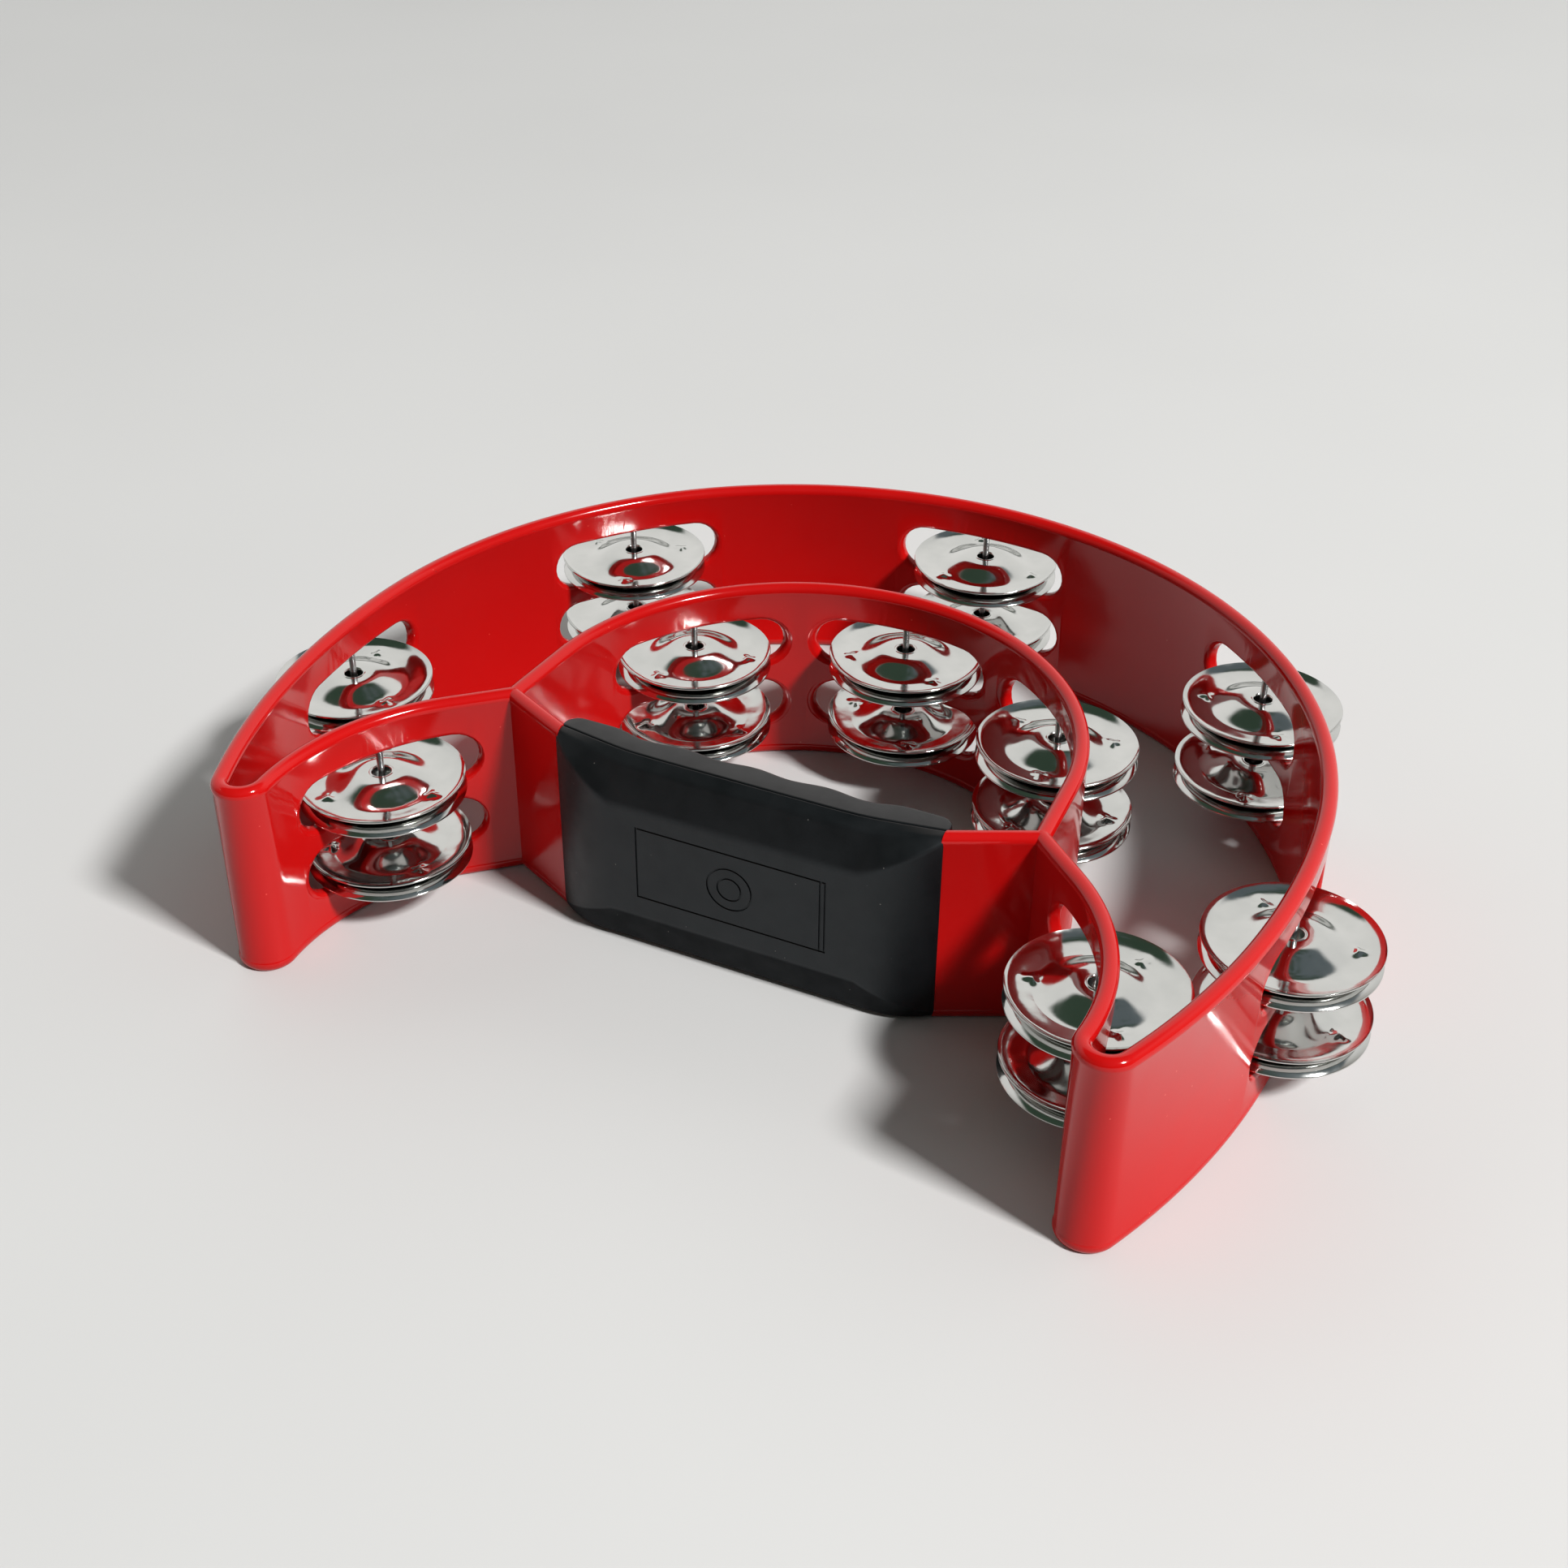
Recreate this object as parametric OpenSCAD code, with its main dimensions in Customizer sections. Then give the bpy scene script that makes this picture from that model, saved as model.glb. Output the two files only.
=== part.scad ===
// Half-moon tambourine: a moulded ring with a D-shaped hand hole, pairs of jingles
// on steel pins in two rows of slots, and a grip of two shells round its front bar.
// X runs along the grip, +Y to the closed back of the ring, Z up from the resting face.
// The shapes are drawn about the centre of the ring's main arc, and the parts then move
// along Y, so that the origin lies under the middle of the whole tambourine.

/* [Frame] */
// Outer radius of the ring
ring_r = 130; // [129:0.5:131]
// Height of the frame
frame_h = 54; // [53:0.5:58]
// Thickness of the upright walls
wall_t = 3.6; // [3.2:0.1:3.8]
// Radius of the round bead along both rims
bead_r = 2.1; // [2:0.05:2.3]
// Radius of the inner arch, to the middle of its wall
arch_r = 69.5; // [68.5:0.5:70]
// Radius of the round nose on each horn, to its outside
nose_r = 7.5; // [7:0.1:8]

/* [Slots] */
// Length of a jingle slot
slot_len = 50; // [48:0.5:52]
// Height of a jingle slot
slot_h = 13.6; // [13:0.1:14]
// Height of the strip between the two rows of slots
strip_h = 5.8; // [5:0.1:7]

/* [Jingles] */
// Diameter of a jingle
jingle_d = 42; // [38:0.5:43]
// Thickness of the jingle sheet
sheet_t = 0.5; // [0.4:0.05:0.6]
// Diameter of the steel pins
pin_d = 1.8; // [1.5:0.1:2.2]

/* [Grip] */
// Length of the grip
grip_len = 102; // [101:0.5:103]
// Width of the thin border line sunk in the grip's front face
border_line = 0.5; // [0.3:0.1:0.8]

/* [Hidden] */
$fn = 96;
RED = "#c4161c";
RUBBER = "#1d1d1f";
STEEL = "#b9bcc0";
NICKEL = "#dfe1e4";

// Rim: the lower bead is cut to a narrow flat that the tambourine rests on
rest_cut = 0.3;
bead_low = bead_r - rest_cut;
bead_high = frame_h - bead_r;

// Slots: two rows, centred on the height of the wall
upper_slot_z = frame_h / 2 + (strip_h + slot_h) / 2;
lower_slot_z = frame_h / 2 - (strip_h + slot_h) / 2;
slot_cut_depth = 16;

// Outline of the frame in plan, all to the middle of the wall and for the +X side
ring_mid = ring_r - bead_r;
back_half_angle = 84.5;
side_extra_r = 68.5;
side_mid = ring_mid + side_extra_r;
side_sweep = 28.9;
side_start = 90 - back_half_angle;
side_end = side_start - side_sweep;
side_c = -side_extra_r * dir(side_start);
nose_mid = nose_r - bead_r;
nose_sweep = 162.3;
nose_c = side_c + (side_mid - nose_mid) * dir(side_end);
arm_mid = 60.1;
arm_start = side_end - nose_sweep + 180;
arm_c = nose_c - (arm_mid + nose_mid) * dir(arm_start);
arch_c = [0, -2];
junction = [70.5, -20.6];
arm_end = tangent_angle(junction, arm_c, arm_mid, -1);
arch_end = tangent_angle(junction, arch_c, arch_r, 1);
grip_y = -33.4;
core_corner = [44.4, grip_y];
arm_foot = arm_c + arm_mid * dir(arm_end);
leg_foot = arch_c + arch_r * dir(arch_end);

// Fine raised parting lines where one curve of the outline passes into the next
parting_proud = 0.05;
parting_half = 0.35;
parting_inset = 0.1;

// Beads of the walls that meet the leg of the arch at a junction, each a little slimmer
arm_bead_r = bead_r - 0.05;
stub_bead_r = bead_r - 0.1;
junction_overrun = 0.6;

// Core bar inside the grip, a little thinner than the walls
core_t = wall_t - 0.2;
core_post_d = wall_t + 0.4;
core_low = 3;
core_h = frame_h - 2 * core_low;
core_in_stub = 2.5;

// Pins stand in holes through the lower rim and the strip, and end blind above
pin_r = pin_d / 2;
pin_low = 1;
pin_high = frame_h - 5.5;
pin_play = 0.05;

// Jingle profile: radii, and heights of the sheet's upper face above the seat, which is the
// lowest ring of its underside. The rim is dished, so it rises past the seat again.
jingle_r = jingle_d / 2;
hole_r = 2.4;
hole_lip_r = 2.9;
hole_lip_h = 0.15;
hole_lip_run = 0.4;
boss_flat_r = 5;
boss_top = 3.3;
seat_r = 14.3;
rim_top = 2.2;
dish_slope = 0.3;
dish_power = 5;
profile_steps = 6;
dimple_at_r = 14.8;
dimple_size = 1.5;
dimple_tip = 0.5;
dimple_h = 0.8;
pair_gap = 0.5;
rest_gap = 0.2;
jingle_half = pair_gap / 2 + boss_top + hole_lip_h;

// Grip outline and section
grip_low = 0.3;
grip_high = frame_h - 0.3;
seam_gap = 0.05;
core_gap = 0.1;
front_y = -40;
front_flat = 66;
front_low_z = 10.5;
front_high_z = 42.4;
foot_inset = 1.6;
top_band = 3.1;
top_band_z = 51.5;
end_front_y = -32.6;
end_rear_y = -27.4;
shoulder_y = -22.4;
shoulder_r = 5;
finger_crest_y = -24.6;
finger_trough_y = -25.8;
finger_pitch = 19;
border = [51, 21];
border_depth = 0.3;
border_double = 1.3;

// Middle of the whole depth, from the tip of a nose to the rim of the rearmost jingle
middle_y = (ring_mid + jingle_r + nose_c[1] - nose_r) / 2;

// Angles of the stations on their arcs, from +Y on the ring and the arch, from +X elsewhere
ring_station_angle = 48.1;
side_station_angle = -1.05;
arch_station_angle = 49.4;
arm_station_angle = 29.4;

// Stations where pins stand: [name, place in plan, direction of the wall's outward normal]
STATIONS = [
    ["outer_1", side_point(-1), 180 - side_station_angle],
    ["outer_2", ring_mid * dir(90 + ring_station_angle), 90 + ring_station_angle],
    ["outer_3", ring_mid * dir(90), 90],
    ["outer_4", ring_mid * dir(90 - ring_station_angle), 90 - ring_station_angle],
    ["outer_5", side_point(1), side_station_angle],
    ["inner_1", arch_c + arch_r * dir(90 + arch_station_angle), 90 + arch_station_angle],
    ["inner_2", arch_c + arch_r * dir(90), 90],
    ["inner_3", arch_c + arch_r * dir(90 - arch_station_angle), 90 - arch_station_angle],
    ["horn_1", arm_point(-1), 180 - arm_station_angle],
    ["horn_2", arm_point(1), arm_station_angle],
];

// The four jingles of a station, from top to bottom: [suffix, slot height, 1 = boss up]
JINGLES = [
    ["a", upper_slot_z, 1], ["b", upper_slot_z, -1],
    ["c", lower_slot_z, 1], ["d", lower_slot_z, -1],
];

function dir(a) = [cos(a), sin(a)];

function heading(p, q) = atan2(q[1] - p[1], q[0] - p[0]);

function flip(p, side) = [side * p[0], p[1]];

// Angle on a circle where the line from point p touches it, on the given side of p
function tangent_angle(p, c, r, side) =
    let (d = p - c)
    atan2(d[1], d[0]) + side * acos(r / norm(d));

function side_point(side) = flip(side_c + side_mid * dir(side_station_angle), side);

function arm_point(side) = flip(arm_c + arm_mid * dir(arm_station_angle), side);

// Radius of the arc that is tangent to a straight edge and drops by d over a run of w
function blend_r(w, d) = (w * w + d * d) / (2 * d);

// ---- Frame ----

// Upright section of the wall with its beads, in the plane x = across, y = up
module wall_section(t = wall_t, r = bead_r) {
    intersection() {
        union() {
            translate([-t / 2, bead_low]) square([t, bead_high - bead_low]);
            translate([0, bead_low]) circle(r = r);
            translate([0, bead_high]) circle(r = r);
        }
        translate([-2 * bead_r, 0]) square([4 * bead_r, frame_h + 1]);
    }
}

// Both ends stop just short of the parting lines that join them to their neighbours
module arc_wall(c, r, from, sweep) {
    inset = parting_inset / r * 180 / PI;
    translate([c[0], c[1], 0])
        rotate([0, 0, from + inset])
            rotate_extrude(angle = sweep - 2 * inset)
                translate([r, 0]) wall_section();
}

// Starts a little past the junction, so that the three walls there run into each other
module straight_wall(q, r) {
    translate([junction[0], junction[1], 0])
        rotate([0, 0, heading(junction, q)])
            rotate([90, 0, 90])
                translate([0, 0, -junction_overrun])
                    linear_extrude(height = norm(q - junction) + junction_overrun - parting_inset)
                        wall_section(r = r);
}

// Thin slice of wall across the outline at point p, where its outward normal is at angle a
module parting_line(p, a) {
    translate([p[0], p[1], 0])
        rotate([0, 0, a])
            rotate([90, 0, 0])
                translate([0, 0, -parting_half])
                    linear_extrude(height = 2 * parting_half)
                        wall_section(wall_t + 2 * parting_proud, bead_r + parting_proud);
}

// Stub that runs from the junction to the end of the grip, which it meets face to face
module stub() {
    intersection() {
        straight_wall(core_corner, stub_bead_r);
        translate([grip_len / 2 + seam_gap, -grip_len, -1])
            cube([grip_len, 2 * grip_len, frame_h + 2]);
    }
}

module half_frame() {
    arc_wall(side_c, side_mid, side_end, side_sweep);
    arc_wall(nose_c, nose_mid, side_end - nose_sweep, nose_sweep);
    arc_wall(arm_c, arm_mid, arm_start, arm_end - arm_start);
    parting_line(ring_mid * dir(side_start), side_start);
    parting_line(side_c + side_mid * dir(side_end), side_end);
    parting_line(arm_c + arm_mid * dir(arm_start), arm_start);
    parting_line(arm_foot, arm_end);
    parting_line(leg_foot, arch_end);
    straight_wall(leg_foot, bead_r);
    straight_wall(arm_foot, arm_bead_r);
    stub();
}

// Plan of the core bar, its two posts and the tongues that run out into the stubs
module core_plan(gap, reach) {
    t = core_t + 2 * gap;
    translate([-core_corner[0], grip_y - t / 2]) square([2 * core_corner[0], t]);
    for (side = [-1, 1])
        translate(flip(core_corner, side)) {
            circle(d = core_post_d + 2 * gap);
            rotate(heading([0, 0], flip(junction - core_corner, side)))
                translate([0, -t / 2]) square([reach, t]);
        }
}

module core() {
    to_mouth = norm(junction - core_corner) * (grip_len / 2 - core_corner[0])
        / (junction[0] - core_corner[0]);
    translate([0, 0, core_low])
        linear_extrude(height = core_h) core_plan(0, to_mouth + core_in_stub);
}

// Slot with round ends, cut straight through the wall at a station
module slot_cutter(s, z) {
    straight = slot_len - slot_h;
    translate([s[1][0], s[1][1], z])
        rotate([0, 0, s[2]])
            rotate([90, 0, 90])
                translate([0, 0, -slot_cut_depth / 2]) {
                    translate([-straight / 2, -slot_h / 2, 0]) cube([straight, slot_h, slot_cut_depth]);
                    for (e = [-1, 1])
                        translate([e * straight / 2, 0, 0]) cylinder(d = slot_h, h = slot_cut_depth);
                }
}

module pin_hole(s) {
    translate([s[1][0], s[1][1], -1])
        cylinder(r = pin_r + pin_play, h = pin_high + pin_play + 1);
}

module frame() {
    color(RED)
        difference() {
            union() {
                arc_wall([0, 0], ring_mid, side_start, 180 - 2 * side_start);
                arc_wall(arch_c, arch_r, arch_end, 180 - 2 * arch_end);
                half_frame();
                mirror([1, 0, 0]) half_frame();
                core();
            }
            for (s = STATIONS) {
                slot_cutter(s, upper_slot_z);
                slot_cutter(s, lower_slot_z);
                pin_hole(s);
            }
        }
}

// ---- Pins and jingles ----

module pin(s) {
    color(STEEL)
        translate([s[1][0], s[1][1], pin_low])
            cylinder(r = pin_r, h = pin_high - pin_low);
}

// Height of the sheet's upper face on the boss's slope, from its flat top (0) to the seat (1)
function boss_z(t) = sheet_t + (boss_top - sheet_t) * (1 - t * t * (3 - 2 * t));

// Height of the sheet's upper face on the dished flange, from the seat (0) to the rim (1)
function dish_z(t) =
    sheet_t + (rim_top - sheet_t) * (dish_slope * t + (1 - dish_slope) * pow(t, dish_power));

// Upper face of a jingle, from the foot of the hole's lip out to the rim
function jingle_upper() = concat(
    [[hole_lip_r + hole_lip_run, boss_top]],
    [for (i = [0:profile_steps]) let (t = i / profile_steps)
        [boss_flat_r + (seat_r - boss_flat_r) * t, boss_z(t)]],
    [for (i = [1:profile_steps]) let (t = i / profile_steps)
        [seat_r + (jingle_r - seat_r) * t, dish_z(t)]]
);

// Half section of a jingle with its boss up
module jingle_section() {
    upper = jingle_upper();
    last = len(upper) - 1;
    polygon(concat(
        [[hole_r, boss_top + hole_lip_h], [hole_lip_r, boss_top + hole_lip_h]],
        upper,
        [for (i = [0:last - 1]) upper[last - i] - [0, sheet_t]],
        [[hole_r, boss_top - sheet_t]]
    ));
}

// Boss up, with its seat at z = 0 and three punched bumps on the flange
module jingle() {
    color(NICKEL) {
        rotate_extrude() jingle_section();
        for (a = [0, 120, 240])
            rotate([0, 0, a])
                translate([dimple_at_r, 0, sheet_t / 2])
                    cylinder(r1 = dimple_size, r2 = dimple_tip, h = dimple_h + sheet_t / 2);
    }
}

// The two of a pair lie seat to seat, bosses outward, and rest just above the slot's floor
module placed_jingle(s, j) {
    pair_z = j[1] - slot_h / 2 + rest_gap + jingle_half;
    translate([s[1][0], s[1][1], pair_z + j[2] * pair_gap / 2])
        mirror([0, 0, (1 - j[2]) / 2]) jingle();
}

// ---- Grip ----

// Plan outline of both shells together
module grip_plan() {
    half = grip_len / 2;
    end_r = blend_r(half - front_flat / 2, end_front_y - front_y);
    finger_r = blend_r(finger_pitch / 2, finger_crest_y - finger_trough_y);
    intersection() {
        translate([-half, front_y]) square([grip_len, shoulder_y - front_y]);
        union() {
            translate([-front_flat / 2, front_y]) square([front_flat, -front_y]);
            for (e = [-1, 1]) translate([e * front_flat / 2, front_y + end_r]) circle(r = end_r);
        }
        difference() {
            union() {
                translate([-half, front_y]) square([grip_len, end_rear_y - front_y]);
                translate([shoulder_r - half, front_y])
                    square([grip_len - 2 * shoulder_r, shoulder_y - front_y]);
                for (e = [-1, 1])
                    translate([e * (half - shoulder_r), shoulder_y - shoulder_r])
                        circle(r = shoulder_r);
            }
            translate([-2 * finger_pitch, finger_crest_y])
                square([4 * finger_pitch, shoulder_y - finger_crest_y + 1]);
            for (i = [-1.5:1:1.5])
                translate([i * finger_pitch, finger_trough_y + finger_r]) circle(r = finger_r);
        }
    }
}

// Section across the grip, in the plane x = across (+ to the rear), y = up
module grip_section() {
    rear = shoulder_y + 1;
    polygon([
        [front_y + foot_inset, grip_low], [front_y, front_low_z], [front_y, front_high_z],
        [grip_y - top_band, top_band_z], [grip_y, grip_high],
        [rear, grip_high], [rear, grip_low],
    ]);
}

module grip_body() {
    intersection() {
        linear_extrude(height = frame_h) grip_plan();
        rotate([90, 0, 90])
            translate([0, 0, -grip_len / 2 - 1])
                linear_extrude(height = grip_len + 2) grip_section();
    }
}

// Room inside the shells for the core
module core_room() {
    translate([0, 0, core_low - core_gap])
        linear_extrude(height = core_h + 2 * core_gap)
            core_plan(core_gap, norm(junction - core_corner));
}

// Thin border sunk in the front face, with a second line beside its right edge
module border_groove() {
    mid_z = frame_h / 2;
    w = border[0];
    h = border[1];
    rotate([90, 0, 0])
        translate([0, mid_z, -front_y - border_depth])
            linear_extrude(height = border_depth + 1) {
                difference() {
                    square([w, h], center = true);
                    square([w - 2 * border_line, h - 2 * border_line], center = true);
                }
                translate([w / 2 - border_double - border_line, -h / 2 + border_line / 2])
                    square([border_line, h - border_line]);
            }
}

// Plan of everything behind the seam, which follows the middle of the core and of the stubs
module behind_seam() {
    far = core_corner + 3 * (junction - core_corner);
    polygon([
        flip(far, -1), flip(core_corner, -1), core_corner, far,
        far + [0, grip_len], flip(far, -1) + [0, grip_len],
    ]);
}

module grip_half(rear) {
    difference() {
        grip_body();
        core_room();
        translate([0, 0, -1])
            linear_extrude(height = frame_h + 2)
                if (rear)
                    difference() {
                        square(4 * grip_len, center = true);
                        translate([0, seam_gap]) behind_seam();
                    }
                else
                    translate([0, -seam_gap]) behind_seam();
    }
}

module grip_front() {
    color(RUBBER)
        difference() {
            grip_half(false);
            border_groove();
        }
}

module grip_rear() {
    color(RUBBER) grip_half(true);
}

// ---- Parts ----

module centred() {
    translate([0, -middle_y, 0]) children();
}

centred() frame();
centred() grip_front();
centred() grip_rear();
for (s = STATIONS)
    centred() pin(s);
for (s = STATIONS, j = JINGLES)
    centred() placed_jingle(s, j);
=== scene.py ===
import math

import bpy
import bmesh
from mathutils import Matrix, Vector


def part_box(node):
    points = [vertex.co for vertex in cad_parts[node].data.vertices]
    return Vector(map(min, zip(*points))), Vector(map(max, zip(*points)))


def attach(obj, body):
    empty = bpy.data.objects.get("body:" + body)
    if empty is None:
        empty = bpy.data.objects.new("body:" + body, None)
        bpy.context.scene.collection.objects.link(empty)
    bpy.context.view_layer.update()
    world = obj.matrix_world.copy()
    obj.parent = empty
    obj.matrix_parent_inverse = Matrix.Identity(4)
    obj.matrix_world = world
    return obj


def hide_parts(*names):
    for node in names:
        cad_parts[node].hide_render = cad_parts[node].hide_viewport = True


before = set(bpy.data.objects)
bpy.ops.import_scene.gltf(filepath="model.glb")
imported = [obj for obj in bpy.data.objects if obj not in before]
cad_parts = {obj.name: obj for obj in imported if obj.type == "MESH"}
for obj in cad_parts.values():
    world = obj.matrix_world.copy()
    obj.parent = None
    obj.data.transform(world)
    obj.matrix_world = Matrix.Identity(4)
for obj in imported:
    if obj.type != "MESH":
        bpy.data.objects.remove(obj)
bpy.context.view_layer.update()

MM = 0.001

# ---- Driving dimensions, in mm, as in the CAD model ----

RING_R = 130.0            # outer radius of the ring
HEIGHT = 54.0             # height of the frame
WALL = 3.6                # thickness of the upright walls
BEAD = 2.1                # radius of the bead along both rims
REST_CUT = 0.3            # how much of the lower bead the resting flat takes off
ARCH_R = 69.5             # radius of the inner arch, to the middle of its wall
ARCH_C = Vector((0.0, -2.0))
BACK_HALF = 84.5          # half of the angle that the ring's main arc spans, in degrees
SIDE_EXTRA = 68.5         # how much larger the side arcs' radius is than the ring's
SIDE_SWEEP = 28.9         # angle that each side arc spans
NOSE_R = 7.5              # outer radius of a horn's rounded nose
NOSE_SWEEP = 162.3        # angle that it spans
ARM_R = 60.1              # radius of the hollow curve from a nose to the grip, to its middle
JUNCTION = Vector((70.5, -20.6))      # where arm, arch and stub meet, on the right
SLOT_LEN = 50.0
SLOT_H = 13.6
STRIP_H = 5.8             # height of the strip between the two rows of slots
GRIP_HALF = 51.0          # half length of the grip
CORE_CORNER = Vector((44.4, -33.4))   # where the stub's line meets the bar inside the grip
JINGLE_R = 21.0

# The CAD parts are drawn about the ring's centre and then moved along Y
MIDDLE_Y = RING_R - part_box("frame")[1][1] / MM


def rad(a):
    return math.radians(a)


def unit(a):
    """The direction at an angle in degrees, in plan."""
    return Vector((math.cos(rad(a)), math.sin(rad(a))))


def placed(x, y, z):
    """A point drawn about the ring's centre, in mm, as a place in the shared frame, in metres."""
    return Vector((x, y - MIDDLE_Y, z)) * MM


# ---- Mesh helpers ----

def new_object(name, verts, faces):
    mesh = bpy.data.meshes.new(name)
    mesh.from_pydata([tuple(v) for v in verts], [], faces)
    mesh.validate()
    obj = bpy.data.objects.new(name, mesh)
    bpy.context.scene.collection.objects.link(obj)
    return obj


def shade(obj, sharp_angle):
    """Shades the mesh smooth, but for edges that are sharper than the angle in degrees."""
    mesh = obj.data
    mesh.polygons.foreach_set("use_smooth", [True] * len(mesh.polygons))
    mesh.set_sharp_from_angle(angle=rad(sharp_angle))
    mesh.update()


def outward(obj):
    """Makes every face point out of the solid."""
    bm = bmesh.new()
    bm.from_mesh(obj.data)
    bmesh.ops.recalc_face_normals(bm, faces=bm.faces)
    bm.to_mesh(obj.data)
    bm.free()


def combined(obj, others, operation):
    """obj joined with, or cut by, the other objects, which are then deleted."""
    for other in others:
        cut = obj.modifiers.new("cut", "BOOLEAN")
        cut.operation = operation
        cut.solver = "EXACT"
        cut.object = other
    evaluated = obj.evaluated_get(bpy.context.evaluated_depsgraph_get())
    mesh = bpy.data.meshes.new_from_object(evaluated)
    obj.modifiers.clear()
    old = obj.data
    obj.data = mesh
    bpy.data.meshes.remove(old)
    for other in others:
        bpy.data.objects.remove(other)
    return obj


def joined(objs):
    """The objects, which don't touch each other, as one."""
    bm = bmesh.new()
    for obj in objs:
        bm.from_mesh(obj.data)
    mesh = bpy.data.meshes.new("joined")
    bm.to_mesh(mesh)
    bm.free()
    objs[0].data = mesh
    for obj in objs[1:]:
        bpy.data.objects.remove(obj)
    return objs[0]


def bridge(rings, loop=False):
    """Faces between successive closed rings of equal length, numbered one ring after another."""
    n = len(rings[0])
    faces = []
    steps = len(rings) if loop else len(rings) - 1
    for i in range(steps):
        a = i * n
        b = ((i + 1) % len(rings)) * n
        for j in range(n):
            k = (j + 1) % n
            faces.append((a + j, a + k, b + k, b + j))
    return faces


def strip_cap(n, fold, first):
    """Faces that close a ring of n points, numbered from first, which is symmetric about the
    line where point j meets point fold - j."""
    faces = []
    for j in range(fold // 2, fold // 2 + n // 2):
        corners = [j % n, (j + 1) % n, (fold - j - 1) % n, (fold - j) % n]
        corners = [c for k, c in enumerate(corners) if c not in corners[:k]]
        if len(corners) > 2:
            faces.append(tuple(first + c for c in corners))
    return faces


def loft(name, rings, fold=None):
    """A closed solid through the rings, capped at both ends."""
    n = len(rings[0])
    verts = [v for ring in rings for v in ring]
    faces = bridge(rings)
    last = len(verts) - n
    if fold is None:
        faces += [tuple(range(n - 1, -1, -1)), tuple(range(last, len(verts)))]
    else:
        faces += strip_cap(n, fold, 0) + strip_cap(n, fold, last)
    obj = new_object(name, verts, faces)
    outward(obj)
    return obj


# ---- Frame ----

RING_MID = RING_R - BEAD
SIDE_MID = RING_MID + SIDE_EXTRA
SIDE_START = 90.0 - BACK_HALF
SIDE_END = SIDE_START - SIDE_SWEEP
SIDE_C = -SIDE_EXTRA * unit(SIDE_START)
NOSE_MID = NOSE_R - BEAD
NOSE_C = SIDE_C + (SIDE_MID - NOSE_MID) * unit(SIDE_END)
ARM_START = SIDE_END - NOSE_SWEEP + 180.0
ARM_C = NOSE_C - (ARM_R + NOSE_MID) * unit(ARM_START)


def tangent_angle(p, c, r, side):
    """Angle on a circle where the line from p touches it."""
    d = p - c
    return math.degrees(math.atan2(d.y, d.x)) + side * math.degrees(math.acos(r / d.length))


ARM_END = tangent_angle(JUNCTION, ARM_C, ARM_R, -1)
ARCH_END = tangent_angle(JUNCTION, ARCH_C, ARCH_R, 1)
ARC_STEP = 1.2            # longest step along an arc, in mm
ARC_TURN = 5.0            # and its largest turn, in degrees
NOSE_STEP = 0.6
LINE_STEP = 1.5
OVERRUN = 0.6             # how far each path runs on past the junction
STUB_TUCK = 0.35          # how far a stub reaches into the grip's end


def arc(c, r, a0, a1, side, step=ARC_STEP):
    """Points and normals along an arc, without its last point. side is the normal's sense."""
    turned = abs(a1 - a0)
    count = max(4, math.ceil(rad(turned) * r / step), math.ceil(turned / ARC_TURN))
    return [
        (c + r * unit(a0 + (a1 - a0) * i / count), side * unit(a0 + (a1 - a0) * i / count))
        for i in range(count)
    ]


def line(p, q, normal):
    """Points along a straight line, with both its ends, and their one normal."""
    count = max(2, math.ceil((q - p).length / LINE_STEP))
    return [(p + (q - p) * i / count, normal) for i in range(count + 1)]


def mirrored(path):
    """The path's mirror image on the left, run the other way."""
    return [(Vector((-p.x, p.y)), Vector((-n.x, n.y))) for p, n in reversed(path)]


def run_on(p, q):
    """q moved on by the overrun, along the line from p."""
    return q + (q - p).normalized() * OVERRUN


def outer_path():
    """From one junction out along the arm, round both horns and the ring, to the other junction."""
    right = arc(Vector((0, 0)), RING_MID, 90, SIDE_START, 1)
    right += arc(SIDE_C, SIDE_MID, SIDE_START, SIDE_END, 1)
    right += arc(NOSE_C, NOSE_MID, SIDE_END, SIDE_END - NOSE_SWEEP, 1, NOSE_STEP)
    right += arc(ARM_C, ARM_R, ARM_START, ARM_END, -1)
    foot = ARM_C + ARM_R * unit(ARM_END)
    right += line(foot, run_on(foot, JUNCTION), -unit(ARM_END))
    return mirrored(right)[:-1] + right


def arch_path():
    """The inner arch, from one junction over to the other."""
    right = arc(ARCH_C, ARCH_R, 90, ARCH_END, 1)
    foot = ARCH_C + ARCH_R * unit(ARCH_END)
    right += line(foot, run_on(foot, JUNCTION), unit(ARCH_END))
    return mirrored(right)[:-1] + right


def stub_path(side):
    """From just inside the grip's end, where it is cut square to the grip, to the junction."""
    share = (JUNCTION.x - GRIP_HALF + STUB_TUCK) / (JUNCTION.x - CORE_CORNER.x)
    inner = JUNCTION + (CORE_CORNER - JUNCTION) * share
    along = (JUNCTION - inner).normalized()
    path = line(inner, run_on(inner, JUNCTION), Vector((-along.y, along.x)))
    path[0] = (inner, Vector((0.0, 1.0 / along.x)))
    return path if side > 0 else mirrored(path)


BEAD_STEPS = 14           # steps round each side of a bead


def wall_section(shrink=0.0):
    """Outline of the wall with its two beads, as (across, height)."""
    r = BEAD - shrink
    half = WALL / 2
    low = BEAD - REST_CUT
    high = HEIGHT - BEAD
    meet = math.degrees(math.acos(half / r))
    flat = -math.degrees(math.asin((low - shrink) / r))

    def fan(centre, a0, a1):
        angles = [rad(a0 + (a1 - a0) * i / BEAD_STEPS) for i in range(BEAD_STEPS + 1)]
        return [(r * math.cos(a), centre + r * math.sin(a)) for a in angles]

    top = fan(high, -meet, 180 + meet)
    right = fan(low, flat, meet)
    left = [(-u, z) for u, z in reversed(right)]
    return right + top + left


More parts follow.
